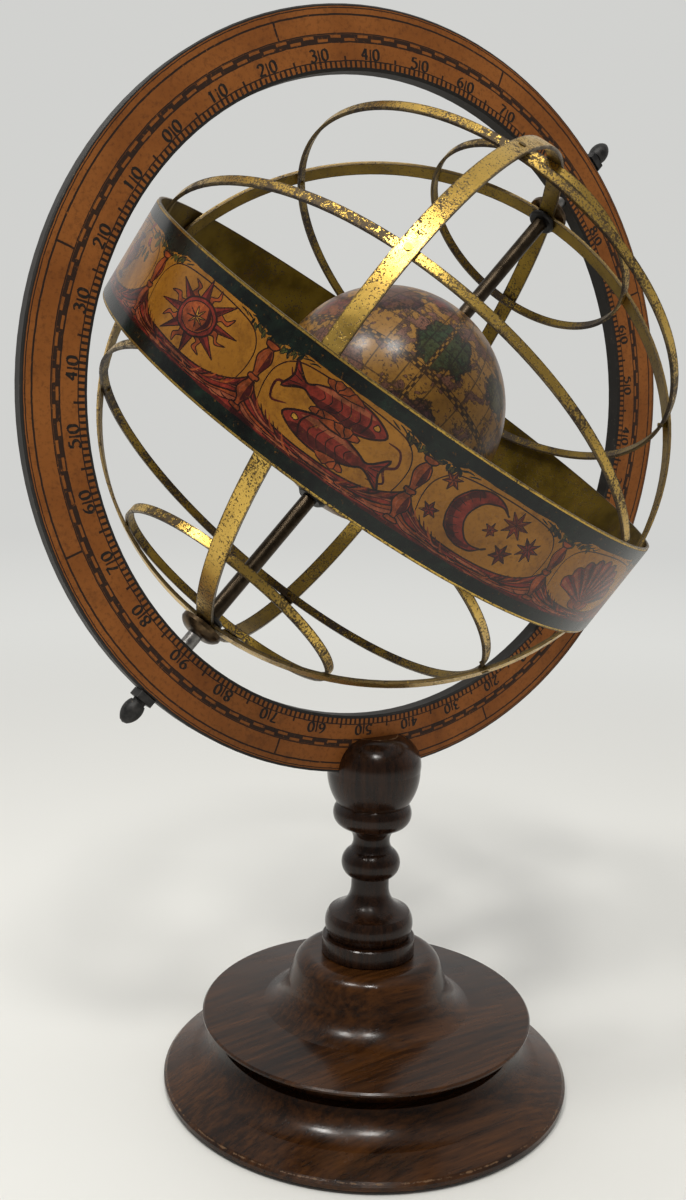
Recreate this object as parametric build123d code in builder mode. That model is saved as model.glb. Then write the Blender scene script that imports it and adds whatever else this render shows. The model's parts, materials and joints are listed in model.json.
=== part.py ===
from build123d import *

import os
from math import atan2, cos, degrees, radians, sin, sqrt

# An armillary sphere on a turned stand, in millimetres. The origin is the middle of the
# underside and +Z is up. The meridian ring stands in the XZ plane with its front towards -Y,
# and the polar axis leans from the vertical towards +X in that plane.

# Clearances
seat_gap = 0.05
running_gap = 0.1
end_gap = 0.2

# Felt pad and plinth
felt_radius = 73.0
felt_thickness = 1.0
plinth_radius = 76.2
plinth_height = 23.0
plinth_rim_height = 3.2
plinth_rim_round = 1.2
plinth_slope_rise = 4.0
plinth_cove_radius = 66.0
plinth_cove_height = 9.4
plinth_cove_depth = 1.7
plinth_cove_top_radius = 56.0
plinth_neck_radius = 52.0

# Bell: the upper disc, which rises to the column
bell_radius = 62.0
bell_lip_undercut = 1.0
bell_lip_thickness = 1.8
bell_lip_round = 0.6
bell_top_rise = 1.8
bell_flare_radius = 39.0
bell_flare_height = 9.5
bell_flare_depth = 1.9
bell_throat_radius = 29.8
bell_wall_height = 6.0
bell_wall_radius = 27.8
bell_shoulder_height = 4.4
bell_shoulder_round = 1.4
bell_top_radius = 21.5

# Collar and tenon
collar_radius = 17.5
collar_height = 6.7
tenon_radius = 9.0
tenon_depth = 16.0

# Column, from its foot up: radius and height of each turned form
groove_radius = 14.8
groove_height = 0.5
flare_foot_radius = 15.2
flare_radius = 16.6
flare_height = 9.0
flare_cove_height = 10.0
flare_cove_spread = 2.0
lower_neck_radius = 7.1
lower_neck_height = 4.3
bead_foot_radius = 8.9
bead_foot_rise = 0.4
bead_radius = 11.0
bead_height = 9.7
bead_top_radius = 8.2
upper_neck_radius = 6.9
upper_cove_height = 8.7
torus_foot_radius = 10.2
torus_radius = 14.7
torus_height = 9.1
ball_foot_radius = 13.3
ball_radius = 17.4
ball_lower_height = 13.0
ball_upper_height = 13.0
ball_top_radius = 8.0
ball_shoulder_radius = 14.6
ball_shoulder_drop = 3.4
slot_floor_rise = 0.5

# Wood screw that holds the stand together
screw_radius = 2.2
screw_head_radius = 4.4
screw_head_height = 2.6
screw_point_height = 6.0
screw_engagement = 30.0

# Meridian ring and its printed faces
ring_radius = 132.0
ring_width = 20.7
ring_thickness = 6.0
ring_edge_round = 0.5
scale_outer_margin = 0.7
scale_inner_margin = 0.7
paper_thickness = 0.1

# Polar axis
axis_tilt = 43.5
axle_radius = 1.5
tube_radius = 2.75
sleeve_radius = 2.6
nut_width = 6.6
nut_thickness = 2.6
finial_radius = 3.45
finial_length = 7.9
finial_foot_radius = 2.8
finial_tip_radius = 1.4
finial_tip_height = 0.5
finial_neck_radius = 2.3
finial_neck_length = 1.0
finial_thread_depth = 5.0

# Hoops of the cage; the clearance is the radial space between the ring and the colures
cage_clearance = 9.7
colure_thickness = 1.2
colure_width = 6.2
equinox_angle = 141.5
hoop_thickness = 1.2
hoop_width = 3.2
equator_height = -3.8
tropic_angle = 35.0
polar_angle = 64.5
hub_radius = 7.7
hub_thickness = 4.8
hub_edge_thickness = 1.4
hub_dish = 0.8
hub_crown = 0.7
hub_boss_radius = 4.0
washer_radius = 5.2
washer_thickness = 2.0

# Zodiac band, which leans steeply enough to meet both tropics
ecliptic_tilt = 30.9
ecliptic_turn = 3.3
band_thickness = 1.0
band_width = 35.1
band_offset = -2.0
band_border = 0.8
print_thickness = 0.15

# Rivets
rivet_radius = 0.75
rivet_head_radius = 1.2
rivet_head_height = 0.2
rivet_tail = 0.5
rivet_hole_spare = 2.0

# Globe
globe_radius = 42.2
bush_radius = 3.2
bush_depth = 8.0
bush_flange_radius = 5.6
bush_flange_thickness = 2.8
bush_flange_chamfer = 1.2
bush_seat_radius = 5.8

# Heights of the stand's joints, from the underside up
plinth_base = felt_thickness
bell_base = plinth_base + plinth_height
bell_lip_base = bell_base + bell_lip_undercut
bell_lip_top = bell_lip_base + bell_lip_thickness
bell_top = bell_lip_top + bell_top_rise + bell_flare_height + bell_wall_height + bell_shoulder_height
column_base = bell_top + collar_height
flare_top = column_base + groove_height + flare_height
neck_base = flare_top + flare_cove_height
bead_base = neck_base + lower_neck_height
bead_top = bead_base + bead_height
torus_base = bead_top + upper_cove_height
ball_base = torus_base + torus_height
ball_middle = ball_base + ball_lower_height
ball_top = ball_middle + ball_upper_height
centre_height = ball_middle + slot_floor_rise + ring_radius

# Polar frame: local Z is the polar axis and local X and Y span the equator
centre = Vector(0, 0, centre_height)
polar = Plane(origin=centre).rotated((0, axis_tilt, 0))
polar_axis = Axis(centre, polar.z_dir)
ring_inner_radius = ring_radius - ring_width
colure_radius = ring_inner_radius - cage_clearance
colure_inner_radius = colure_radius - colure_thickness
colure_middle_radius = colure_radius - colure_thickness / 2
band_inner_radius = colure_radius + running_gap
band_radius = band_inner_radius + band_thickness
bore_radius = axle_radius + running_gap

# Stations along the polar axis, as distances from the centre, the same at both ends
globe_seat = sqrt(globe_radius**2 - bush_seat_radius**2)
bush_end = globe_seat + seat_gap + bush_flange_thickness
washer_end = sqrt(colure_inner_radius**2 - washer_radius**2) - seat_gap
washer_base = washer_end - washer_thickness
tube_base = bush_end + end_gap
tube_end = washer_base - end_gap
hub_base = colure_radius + seat_gap
hub_end = hub_base + hub_thickness
sleeve_base = hub_end + end_gap
sleeve_end = sqrt(ring_inner_radius**2 - sleeve_radius**2) - seat_gap
nut_base = ring_radius + seat_gap
nut_end = nut_base + nut_thickness
finial_base = nut_end + seat_gap
finial_end = finial_base + finial_neck_length + finial_length
axle_end = finial_base + finial_thread_depth

os.makedirs("parts", exist_ok=True)


def equator_direction(angle):
    """Unit vector in the equator's plane, at an angle about the polar axis."""
    return polar.x_dir.rotate(Axis((0, 0, 0), polar.z_dir), angle)


def latitude_direction(angle, latitude):
    """Unit vector towards a point of the sphere."""
    level = equator_direction(angle)
    return level.rotate(Axis((0, 0, 0), level.cross(polar.z_dir)), latitude)


# Plane through the polar axis: X is the distance from the axis, Y runs along it
axial = Plane(origin=centre, x_dir=equator_direction(0), z_dir=equator_direction(0).cross(polar.z_dir))

# The equinoctial colure lies in the plane of the equinox, the solstitial one square to it
solstice_angle = equinox_angle - 90
equinoctial_normal = equator_direction(solstice_angle)
solstitial_normal = equator_direction(equinox_angle)
band_hinge = Axis((0, 0, 0), equator_direction(equinox_angle + ecliptic_turn))
band_normal = polar.z_dir.rotate(band_hinge, -ecliptic_tilt)


def tag(part, name):
    """Name a finished piece and write it."""
    part.label = name
    export_step(part, f"parts/{name}.step")


# Felt pad
with BuildPart() as felt_pad:
    with BuildSketch():
        Circle(felt_radius)
    extrude(amount=felt_thickness)
tag(felt_pad.part, "felt_pad")

# Plinth: rim, gentle slope, hollow cove and a sunk neck under the bell
rim_top = plinth_base + plinth_rim_height
slope_top = rim_top + plinth_slope_rise
cove_top = slope_top + plinth_cove_height
with BuildPart() as base_plinth:
    with BuildSketch(Plane.XZ):
        with BuildLine():
            Polyline(
                (0, plinth_base),
                (plinth_radius - 0.5 * plinth_rim_round, plinth_base),
                (plinth_radius, plinth_base + 0.5 * plinth_rim_round),
                (plinth_radius, rim_top - plinth_rim_round),
                (plinth_radius - plinth_rim_round, rim_top),
                (plinth_cove_radius, slope_top),
            )
            SagittaArc(
                (plinth_cove_radius, slope_top),
                (plinth_cove_top_radius, cove_top),
                plinth_cove_depth,
            )
            Polyline(
                (plinth_cove_top_radius, cove_top),
                (plinth_neck_radius, cove_top),
                (plinth_neck_radius, bell_base),
                (0, bell_base),
                (0, plinth_base),
            )
        make_face()
    revolve(axis=Axis.Z)
    with Locations((0, 0, plinth_base)):
        Cylinder(
            screw_head_radius + running_gap,
            screw_head_height + seat_gap,
            align=(Align.CENTER, Align.CENTER, Align.MIN),
            mode=Mode.SUBTRACT,
        )
        Cylinder(
            screw_radius + running_gap,
            plinth_height,
            align=(Align.CENTER, Align.CENTER, Align.MIN),
            mode=Mode.SUBTRACT,
        )
tag(base_plinth.part, "base_plinth")

# Bell: thin lipped disc, hollow flare, steep wall and round shoulder up to the collar
flare_base = bell_lip_top + bell_top_rise
wall_base = flare_base + bell_flare_height
wall_top = wall_base + bell_wall_height
socket_floor = column_base - tenon_depth - end_gap
with BuildPart() as base_bell:
    with BuildSketch(Plane.XZ):
        with BuildLine():
            Polyline(
                (0, bell_base),
                (plinth_neck_radius, bell_base),
                (bell_radius - bell_lip_round, bell_lip_base),
                (bell_radius, bell_lip_base + bell_lip_round),
                (bell_radius, bell_lip_top - bell_lip_round),
                (bell_radius - bell_lip_round, bell_lip_top),
                (bell_flare_radius, flare_base),
            )
            SagittaArc(
                (bell_flare_radius, flare_base),
                (bell_throat_radius, wall_base),
                bell_flare_depth,
            )
            Line((bell_throat_radius, wall_base), (bell_wall_radius, wall_top))
            SagittaArc(
                (bell_wall_radius, wall_top),
                (bell_top_radius, bell_top),
                -bell_shoulder_round,
            )
            Polyline((bell_top_radius, bell_top), (0, bell_top), (0, bell_base))
        make_face()
    revolve(axis=Axis.Z)
    with Locations((0, 0, socket_floor)):
        Cylinder(
            tenon_radius + seat_gap,
            bell_top - socket_floor,
            align=(Align.CENTER, Align.CENTER, Align.MIN),
            mode=Mode.SUBTRACT,
        )
    with Locations((0, 0, bell_base)):
        Cylinder(
            screw_radius + running_gap,
            socket_floor - bell_base,
            align=(Align.CENTER, Align.CENTER, Align.MIN),
            mode=Mode.SUBTRACT,
        )
tag(base_bell.part, "base_bell")

# Collar between bell and column
with BuildPart() as base_collar:
    with BuildSketch(Plane.XY.offset(bell_top)):
        Circle(collar_radius)
        Circle(tenon_radius + seat_gap, mode=Mode.SUBTRACT)
    extrude(amount=collar_height)
    chamfer(base_collar.edges().filter_by(GeomType.CIRCLE).sort_by(SortBy.RADIUS)[-2:], 0.4)
tag(base_collar.part, "base_collar")

# Column: one turned profile from the tenon to the ball
screw_tip = column_base - tenon_depth + screw_engagement
flare_middle = flare_top - flare_height / 2
with BuildPart() as column:
    with BuildSketch(Plane.XZ):
        with BuildLine():
            Polyline(
                (0, column_base - tenon_depth),
                (tenon_radius, column_base - tenon_depth),
                (tenon_radius, column_base),
                (groove_radius, column_base),
                (groove_radius, column_base + groove_height),
                (flare_foot_radius, column_base + groove_height),
            )
            ThreePointArc(
                (flare_foot_radius, column_base + groove_height),
                (flare_radius, flare_middle),
                (flare_foot_radius, flare_top),
            )
            Spline(
                (flare_foot_radius, flare_top),
                (lower_neck_radius + flare_cove_spread, flare_top + 0.38 * flare_cove_height),
                (lower_neck_radius, neck_base),
                tangents=((-1, 0.35), (0, 1)),
            )
            Polyline(
                (lower_neck_radius, neck_base),
                (lower_neck_radius, bead_base - bead_foot_rise),
                (bead_foot_radius, bead_base),
            )
            ThreePointArc(
                (bead_foot_radius, bead_base),
                (bead_radius, bead_base + bead_height / 2),
                (bead_top_radius, bead_top),
            )
            ThreePointArc(
                (bead_top_radius, bead_top),
                (upper_neck_radius, bead_top + upper_cove_height / 2),
                (torus_foot_radius, torus_base),
            )
            ThreePointArc(
                (torus_foot_radius, torus_base),
                (torus_radius, torus_base + 0.56 * torus_height),
                (ball_foot_radius, ball_base),
            )
            ThreePointArc(
                (ball_foot_radius, ball_base),
                (ball_radius - 0.9, ball_base + ball_lower_height / 2),
                (ball_radius, ball_middle),
            )
            ThreePointArc(
                (ball_radius, ball_middle),
                (ball_shoulder_radius, ball_top - ball_shoulder_drop),
                (ball_top_radius, ball_top),
            )
            Polyline((ball_top_radius, ball_top), (0, ball_top), (0, column_base - tenon_depth))
        make_face()
    revolve(axis=Axis.Z)
    with BuildSketch(Plane.XZ.offset(-ring_thickness / 2 - seat_gap)):
        with Locations((0, centre_height)):
            Circle(ring_radius + seat_gap)
    extrude(amount=ring_thickness + 2 * seat_gap, mode=Mode.SUBTRACT)
    with Locations((0, 0, column_base - tenon_depth)):
        Cylinder(
            screw_radius + seat_gap,
            screw_engagement + seat_gap,
            align=(Align.CENTER, Align.CENTER, Align.MIN),
            mode=Mode.SUBTRACT,
        )
tag(column.part, "column")

# Wood screw from the plinth's underside into the tenon
with BuildPart() as base_screw:
    with BuildSketch(Plane.XZ):
        with BuildLine():
            Polyline(
                (0, plinth_base),
                (screw_head_radius, plinth_base),
                (screw_radius, plinth_base + screw_head_height),
                (screw_radius, screw_tip - screw_point_height),
                (0, screw_tip),
                (0, plinth_base),
            )
        make_face()
    revolve(axis=Axis.Z)
tag(base_screw.part, "base_screw")

# Meridian ring, with bores for the axle at both poles
with BuildPart() as meridian_ring:
    with BuildSketch(Plane.XZ.offset(-ring_thickness / 2 + paper_thickness)):
        with Locations((0, centre_height)):
            Circle(ring_radius)
            Circle(ring_inner_radius, mode=Mode.SUBTRACT)
    extrude(amount=ring_thickness - 2 * paper_thickness)
    chamfer(meridian_ring.edges().filter_by(GeomType.CIRCLE), ring_edge_round)
    with BuildSketch(Plane(origin=centre - polar.z_dir * ring_radius * 1.1, z_dir=polar.z_dir)):
        Circle(axle_radius + seat_gap)
    extrude(amount=ring_radius * 2.2, mode=Mode.SUBTRACT)
tag(meridian_ring.part, "meridian_ring")

# Printed paper rings on the two faces
scales = (("ring_scale_front", 0.0), ("ring_scale_back", ring_thickness - paper_thickness))
for name, face_depth in scales:
    with BuildPart() as scale:
        with BuildSketch(Plane.XZ.offset(ring_thickness / 2 - paper_thickness - face_depth)):
            with Locations((0, centre_height)):
                Circle(ring_radius - scale_outer_margin)
                Circle(ring_inner_radius + scale_inner_margin, mode=Mode.SUBTRACT)
        extrude(amount=paper_thickness)
    tag(scale.part, name)

# Axle
with BuildPart() as axle:
    with BuildSketch(Plane(origin=centre - polar.z_dir * axle_end, z_dir=polar.z_dir)):
        Circle(axle_radius)
    extrude(amount=2 * axle_end)
tag(axle.part, "axle")

# Globe: a solid turned ball with a through bore and a flat seat for each bush
with BuildPart() as globe_ball:
    with BuildSketch(axial):
        Circle(globe_radius)
        Rectangle(2 * globe_radius, 2 * globe_seat, mode=Mode.INTERSECT)
        Rectangle(globe_radius, 2 * globe_radius, align=(Align.MAX, Align.CENTER), mode=Mode.SUBTRACT)
        Rectangle(
            bore_radius, 2 * globe_radius, align=(Align.MIN, Align.CENTER), mode=Mode.SUBTRACT
        )
        for side in (1, -1):
            with Locations((0, side * globe_seat)):
                Rectangle(
                    bush_radius + seat_gap,
                    2 * (bush_depth + seat_gap),
                    align=(Align.MIN, Align.CENTER),
                    mode=Mode.SUBTRACT,
                )
    revolve(axis=polar_axis)
tag(globe_ball.part, "globe_ball")

# Pieces that repeat at the north and south ends of the polar axis
for end, side in (("north", 1), ("south", -1)):
    pole = Plane(origin=centre, x_dir=polar.x_dir, z_dir=polar.z_dir * side)
    end_plane = Plane(origin=centre, x_dir=axial.x_dir, z_dir=axial.z_dir * side)

    with BuildPart() as bush:
        with BuildSketch(end_plane):
            with BuildLine():
                Polyline(
                    (bore_radius, globe_seat - bush_depth),
                    (bush_radius, globe_seat - bush_depth),
                    (bush_radius, globe_seat + seat_gap),
                    (bush_flange_radius, globe_seat + seat_gap),
                    (bush_flange_radius, bush_end - bush_flange_chamfer),
                    (bush_flange_radius - bush_flange_chamfer, bush_end),
                    (bore_radius, bush_end),
                    (bore_radius, globe_seat - bush_depth),
                )
            make_face()
        revolve(axis=polar_axis)
    tag(bush.part, f"bush_{end}")

    with BuildPart() as tube:
        with BuildSketch(pole.offset(tube_base)):
            Circle(tube_radius)
            Circle(bore_radius, mode=Mode.SUBTRACT)
        extrude(amount=tube_end - tube_base)
    tag(tube.part, f"tube_{end}")

    with BuildPart() as washer:
        with BuildSketch(pole.offset(washer_base)):
            Circle(washer_radius)
            Circle(bore_radius, mode=Mode.SUBTRACT)
        extrude(amount=washer_thickness)
        chamfer(washer.edges().filter_by(GeomType.CIRCLE).sort_by(SortBy.RADIUS)[-2:], 0.6)
    tag(washer.part, f"washer_{end}")

    # Hub: a lens with a thin edge, conical towards the ring
    with BuildPart() as hub:
        with BuildSketch(end_plane):
            with BuildLine():
                Polyline(
                    (bore_radius, hub_base),
                    (hub_boss_radius, hub_base),
                    (hub_radius, hub_base + hub_dish),
                    (hub_radius, hub_base + hub_dish + hub_edge_thickness),
                )
                SagittaArc(
                    (hub_radius, hub_base + hub_dish + hub_edge_thickness),
                    (sleeve_radius + 0.6, hub_end),
                    -hub_crown,
                )
                Polyline(
                    (sleeve_radius + 0.6, hub_end),
                    (bore_radius, hub_end),
                    (bore_radius, hub_base),
                )
            make_face()
        revolve(axis=polar_axis)
    tag(hub.part, f"hub_{end}")

    with BuildPart() as sleeve:
        with BuildSketch(pole.offset(sleeve_base)):
            Circle(sleeve_radius)
            Circle(bore_radius, mode=Mode.SUBTRACT)
        extrude(amount=sleeve_end - sleeve_base)
    tag(sleeve.part, f"sleeve_{end}")

    with BuildPart() as nut:
        with BuildSketch(pole.offset(nut_base)):
            RectangleRounded(nut_width, nut_width, 0.8)
            Circle(axle_radius + seat_gap, mode=Mode.SUBTRACT)
        extrude(amount=nut_thickness)
    tag(nut.part, f"nut_{end}")

    # Acorn cap nut with a blind bore for the axle's end
    acorn_base = finial_base + finial_neck_length
    with BuildPart() as finial:
        with BuildSketch(end_plane):
            with BuildLine():
                Polyline(
                    (0, finial_base),
                    (finial_neck_radius, finial_base),
                    (finial_neck_radius, acorn_base),
                    (finial_foot_radius, acorn_base),
                )
                ThreePointArc(
                    (finial_foot_radius, acorn_base),
                    (finial_radius, acorn_base + 0.4 * finial_length),
                    (finial_tip_radius, finial_end - finial_tip_height),
                )
                Polyline(
                    (finial_tip_radius, finial_end - finial_tip_height),
                    (0, finial_end),
                    (0, finial_base),
                )
            make_face()
        revolve(axis=polar_axis)
        with BuildSketch(pole.offset(finial_base)):
            Circle(axle_radius + seat_gap)
        extrude(amount=finial_thread_depth + seat_gap, mode=Mode.SUBTRACT)
    tag(finial.part, f"finial_{end}")


def crossing_location(angle, latitude, distance):
    """Location on the sphere's radius at a crossing, with Z pointing outwards."""
    direction = latitude_direction(angle, latitude)
    return Plane(origin=centre + direction * distance, z_dir=direction).location


def hoop_height(latitude):
    """Height of a narrow hoop's middle when its poleward edge touches the colures' inside."""
    return colure_inner_radius * sin(radians(latitude)) - hoop_width / 2


def hoop_outer_radius(height):
    """Outer radius of a narrow hoop whose poleward edge lies inside the colures."""
    return sqrt(colure_inner_radius**2 - (abs(height) + hoop_width / 2) ** 2) - seat_gap


tropic_height = hoop_height(tropic_angle)
polar_height = hoop_height(polar_angle)
equator_inner_radius = hoop_outer_radius(equator_height) - hoop_thickness
tropic_inner_radius = hoop_outer_radius(tropic_height) - hoop_thickness

# Rivets, each with its angle, its latitude and the distances of its two ends from the centre.
# Four of the crossings lie under the band, and their rivets hold the band as well.
rivet_latitude = degrees(atan2(tropic_height, tropic_inner_radius + hoop_thickness / 2))
tropic_reach = tropic_inner_radius / cos(radians(rivet_latitude)) - rivet_tail
equator_latitude = degrees(atan2(equator_height, equator_inner_radius + hoop_thickness / 2))
equator_reach = equator_inner_radius / cos(radians(equator_latitude)) - rivet_tail
cage_rivet_end = colure_radius + seat_gap + rivet_head_height
band_rivet_end = band_radius - seat_gap
rivet_hole_depth = 2 * (colure_middle_radius - equator_reach + rivet_hole_spare)
cage_rivet_places = []
band_rivet_places = []
for quarter in range(4):
    crossing_angle = solstice_angle + quarter * 90
    north_list = band_rivet_places if quarter == 0 else cage_rivet_places
    south_list = band_rivet_places if quarter == 2 else cage_rivet_places
    equator_list = band_rivet_places if quarter in (1, 3) else cage_rivet_places
    north_list.append((crossing_angle, rivet_latitude, tropic_reach))
    equator_list.append((crossing_angle, equator_latitude, equator_reach))
    south_list.append((crossing_angle, -rivet_latitude, tropic_reach))
rivet_middles = [crossing_location(angle, latitude, colure_middle_radius)
                 for angle, latitude, reach in cage_rivet_places + band_rivet_places]

# Colures: wide hoops through the poles, half-lapped where they cross
colures = (
    ("colure_solstitial", solstitial_normal, equinoctial_normal, 0),
    ("colure_equinoctial", equinoctial_normal, solstitial_normal, 1),
)
for name, normal, other_normal, outer_half_cut in colures:
    lap_width = colure_width + 2 * seat_gap
    with BuildPart() as colure:
        with BuildSketch(Plane(origin=centre - normal * colure_width / 2, z_dir=normal)):
            Circle(colure_radius)
            Circle(colure_inner_radius, mode=Mode.SUBTRACT)
        extrude(amount=colure_width)
        with BuildSketch(Plane(origin=centre - other_normal * lap_width / 2, z_dir=other_normal)):
            if outer_half_cut:
                Circle(colure_radius + 1)
                Circle(colure_middle_radius - seat_gap, mode=Mode.SUBTRACT)
            else:
                Circle(colure_middle_radius + seat_gap)
                Circle(colure_inner_radius - 1, mode=Mode.SUBTRACT)
        extrude(amount=lap_width, mode=Mode.SUBTRACT)
        with BuildSketch(Plane(origin=centre - polar.z_dir * ring_radius, z_dir=polar.z_dir)):
            Circle(bore_radius)
        extrude(amount=2 * ring_radius, mode=Mode.SUBTRACT)
        with Locations(*rivet_middles):
            Cylinder(rivet_radius + seat_gap, rivet_hole_depth, mode=Mode.SUBTRACT)
    tag(colure.part, name)

# Narrow hoops inside the colures
hoops = (
    ("equator_ring", equator_height),
    ("tropic_north", tropic_height),
    ("tropic_south", -tropic_height),
    ("arctic_circle", polar_height),
    ("antarctic_circle", -polar_height),
)
for name, height in hoops:
    outer = hoop_outer_radius(height)
    with BuildPart() as hoop:
        with BuildSketch(axial):
            with Locations((outer - hoop_thickness / 2, height)):
                Rectangle(hoop_thickness, hoop_width)
        revolve(axis=polar_axis)
        if abs(height) < polar_height:
            with Locations(*rivet_middles):
                Cylinder(rivet_radius + seat_gap, rivet_hole_depth, mode=Mode.SUBTRACT)
    tag(hoop.part, name)

# Zodiac band on the ecliptic, with its printed paper strip
band_base = centre + band_normal * (band_offset - band_width / 2)
with BuildPart() as zodiac_band:
    with BuildSketch(Plane(origin=band_base, z_dir=band_normal)):
        Circle(band_radius)
        Circle(band_inner_radius, mode=Mode.SUBTRACT)
    extrude(amount=band_width)
    with Locations(*rivet_middles):
        Cylinder(rivet_radius + seat_gap, rivet_hole_depth, mode=Mode.SUBTRACT)
tag(zodiac_band.part, "zodiac_band")

with BuildPart() as zodiac_print:
    with BuildSketch(Plane(origin=band_base + band_normal * band_border, z_dir=band_normal)):
        Circle(band_radius + print_thickness)
        Circle(band_radius, mode=Mode.SUBTRACT)
    extrude(amount=band_width - 2 * band_border)
tag(zodiac_print.part, "zodiac_print")

# Rivets of the cage, with flat heads outside; their tails stand out a little inside
with BuildPart() as cage_rivets:
    for angle, latitude, reach in cage_rivet_places:
        with Locations(crossing_location(angle, latitude, reach)):
            Cylinder(
                rivet_radius, cage_rivet_end - reach, align=(Align.CENTER, Align.CENTER, Align.MIN)
            )
        with Locations(crossing_location(angle, latitude, colure_radius + seat_gap)):
            Cylinder(
                rivet_head_radius, rivet_head_height, align=(Align.CENTER, Align.CENTER, Align.MIN)
            )
tag(cage_rivets.part, "cage_rivets")

# Rivets that also hold the band end flush under its paper
with BuildPart() as band_rivets:
    for angle, latitude, reach in band_rivet_places:
        with Locations(crossing_location(angle, latitude, reach)):
            Cylinder(
                rivet_radius, band_rivet_end - reach, align=(Align.CENTER, Align.CENTER, Align.MIN)
            )
tag(band_rivets.part, "band_rivets")
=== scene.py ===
import json
import math

import bpy
import numpy as np
from mathutils import Matrix, Vector
from mathutils.geometry import delaunay_2d_cdt


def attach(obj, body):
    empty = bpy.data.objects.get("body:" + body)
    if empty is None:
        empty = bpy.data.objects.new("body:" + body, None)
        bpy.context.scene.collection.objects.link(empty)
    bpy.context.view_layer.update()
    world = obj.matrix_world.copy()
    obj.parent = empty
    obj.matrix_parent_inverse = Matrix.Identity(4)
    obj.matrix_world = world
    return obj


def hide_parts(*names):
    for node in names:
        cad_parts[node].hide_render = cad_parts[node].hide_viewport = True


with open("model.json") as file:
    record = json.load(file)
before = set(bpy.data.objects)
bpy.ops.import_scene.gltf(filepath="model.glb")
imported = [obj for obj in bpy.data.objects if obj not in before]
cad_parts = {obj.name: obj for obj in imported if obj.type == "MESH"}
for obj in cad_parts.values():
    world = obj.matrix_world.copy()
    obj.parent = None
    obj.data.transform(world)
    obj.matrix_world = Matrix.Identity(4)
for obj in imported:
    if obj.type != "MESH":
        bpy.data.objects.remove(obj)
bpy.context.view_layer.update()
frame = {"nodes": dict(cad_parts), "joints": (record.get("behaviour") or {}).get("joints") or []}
nodes = frame["nodes"]

MM = 0.001
CENTRE = Vector(frame["joints"][0]["pos_m"])
POLE = Vector(frame["joints"][0]["axis"]).normalized()
EAST = Vector((0, 1, 0))
MERIDIAN = EAST.cross(POLE)
SOLSTICE = math.radians(51.5)
ECLIPTIC_TILT = math.radians(30.9)
ECLIPTIC_TURN = math.radians(3.3)
BAND_OFFSET = -2.0 * MM
BAND_RADIUS = 102.7 * MM
BAND_HALF_WIDTH = 17.55 * MM
PRINT_THICKNESS = 0.15 * MM
PRINT_HALF_WIDTH = 16.75
RING_FACE = 3.0 * MM


def equator_direction(angle):
    return MERIDIAN * math.cos(angle) + EAST * math.sin(angle)


SOLSTITIAL_NORMAL = equator_direction(SOLSTICE + math.pi / 2)
EQUINOCTIAL_NORMAL = equator_direction(SOLSTICE)
BAND_HINGE = equator_direction(SOLSTICE + math.pi / 2 + ECLIPTIC_TURN)
BAND_NORMAL = Matrix.Rotation(-ECLIPTIC_TILT, 3, BAND_HINGE) @ POLE


# Shader graphs

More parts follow.
